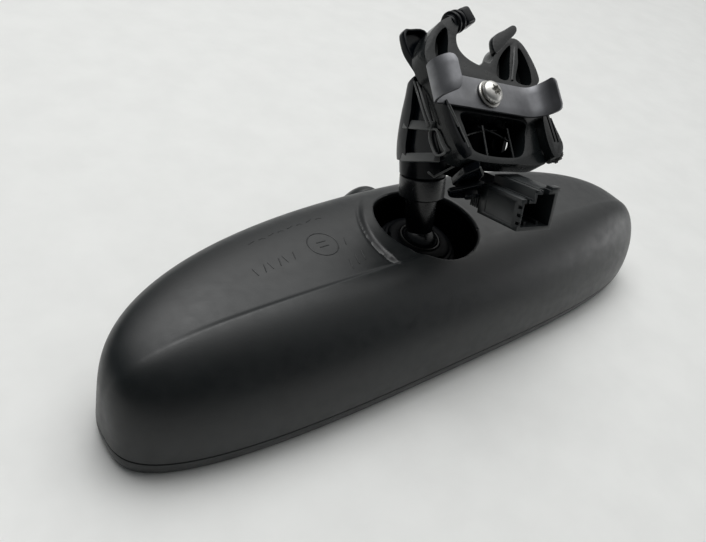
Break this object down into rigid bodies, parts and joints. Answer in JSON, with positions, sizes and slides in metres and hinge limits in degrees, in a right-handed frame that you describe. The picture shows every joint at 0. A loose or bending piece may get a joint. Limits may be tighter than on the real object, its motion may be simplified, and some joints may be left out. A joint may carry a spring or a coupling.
{
  "type": "interior rearview mirror",
  "caption": "Car interior mirror: dimming glass in an oblong housing on a ball joint, with a clip-on windscreen foot, leaf spring and connector.",
  "frame": {"origin": "middle of the front of the mirror glass, face down", "axes": "+X along the mirror, +Y to its lower edge in the car (the control pod), +Z from the glass to the windscreen foot"},
  "size_m": [0.25, 0.0823, 0.1065],
  "materials": {
    "housing": "fine-grained moulded plastic, dark grey",
    "bezel": "satin moulded plastic",
    "glass": "clear polished glass",
    "mirror": "silvered glass",
    "foam": "closed-cell foam",
    "plate": "moulded plastic",
    "contact": "plated spring contacts",
    "board": "solder-masked laminate",
    "steel": "zinc-plated steel",
    "connector": "moulded plastic, near black",
    "lens": "clear moulded lens",
    "switch": "moulded plastic",
    "button": "satin moulded plastic",
    "seat": "natural acetal",
    "socket": "black moulded plastic",
    "liner": "natural low-friction plastic",
    "stud": "glass-filled plastic with a worn sheen",
    "foot": "glass-filled plastic with a sheen",
    "shell": "moulded plastic",
    "bracket": "dark grey coated bracket",
    "spring": "bare spring steel, dull grey"
  },
  "bodies": {
    "mirror_head": {"rear_cover": "housing", "bezel": "bezel", "front_glass": "glass", "rear_glass": "mirror", "foam_pad": "foam", "carrier_plate": "plate", "cell_clip_upper": "contact", "cell_clip_lower": "contact", "circuit_board": "board", "board_screw_1": "steel", "board_screw_2": "steel", "board_header": "connector", "glare_sensor": "lens", "ambient_sensor": "lens", "control_pod": "housing", "button_switch": "switch", "indicator_light": "lens", "ball_seat": "seat", "spring_ring": "steel", "socket_plate": "steel", "retaining_ring": "socket", "socket_screw_1": "steel", "socket_screw_2": "steel", "socket_screw_3": "steel"},
    "button": {"push_button": "button"},
    "liner": {"ball_liner": "liner"},
    "stud": {"ball_stud": "stud"},
    "foot": {"stem_sleeve": "stud", "foot_carrier": "foot", "rear_shell": "shell", "mount_bracket": "bracket", "leaf_spring": "spring", "screw_washer": "steel", "spring_screw": "steel", "latch_arm": "foot", "side_hook": "foot", "connector_housing": "connector", "contact_pin_1": "contact", "contact_pin_2": "contact", "contact_pin_3": "contact", "contact_pin_4": "contact", "contact_pin_5": "contact", "contact_pin_6": "contact"}
  },
  "joints": [
    {"name": "tilt", "type": "hinge", "parent": "mirror_head", "child": "liner", "pos_m": [0.0015, 0.0035, 0.029], "axis": [1, 0, 0], "range_deg": [-15, 15]},
    {"name": "swing", "type": "hinge", "parent": "liner", "child": "stud", "pos_m": [0.0015, 0.0035, 0.029], "axis": [0, 0.9367, -0.3502], "range_deg": [-15, 15]},
    {"name": "roll", "type": "hinge", "parent": "stud", "child": "foot", "pos_m": [0.0015, 0.0035, 0.029], "axis": [0, 0.3502, 0.9367], "range_deg": [-30, 30]},
    {"name": "button_press", "type": "slide", "parent": "mirror_head", "child": "button", "axis": [0, 0, 1], "range_m": [0, 0.001], "stiffness_N_per_m": 1500, "springref_m": -0.0005}
  ]
}
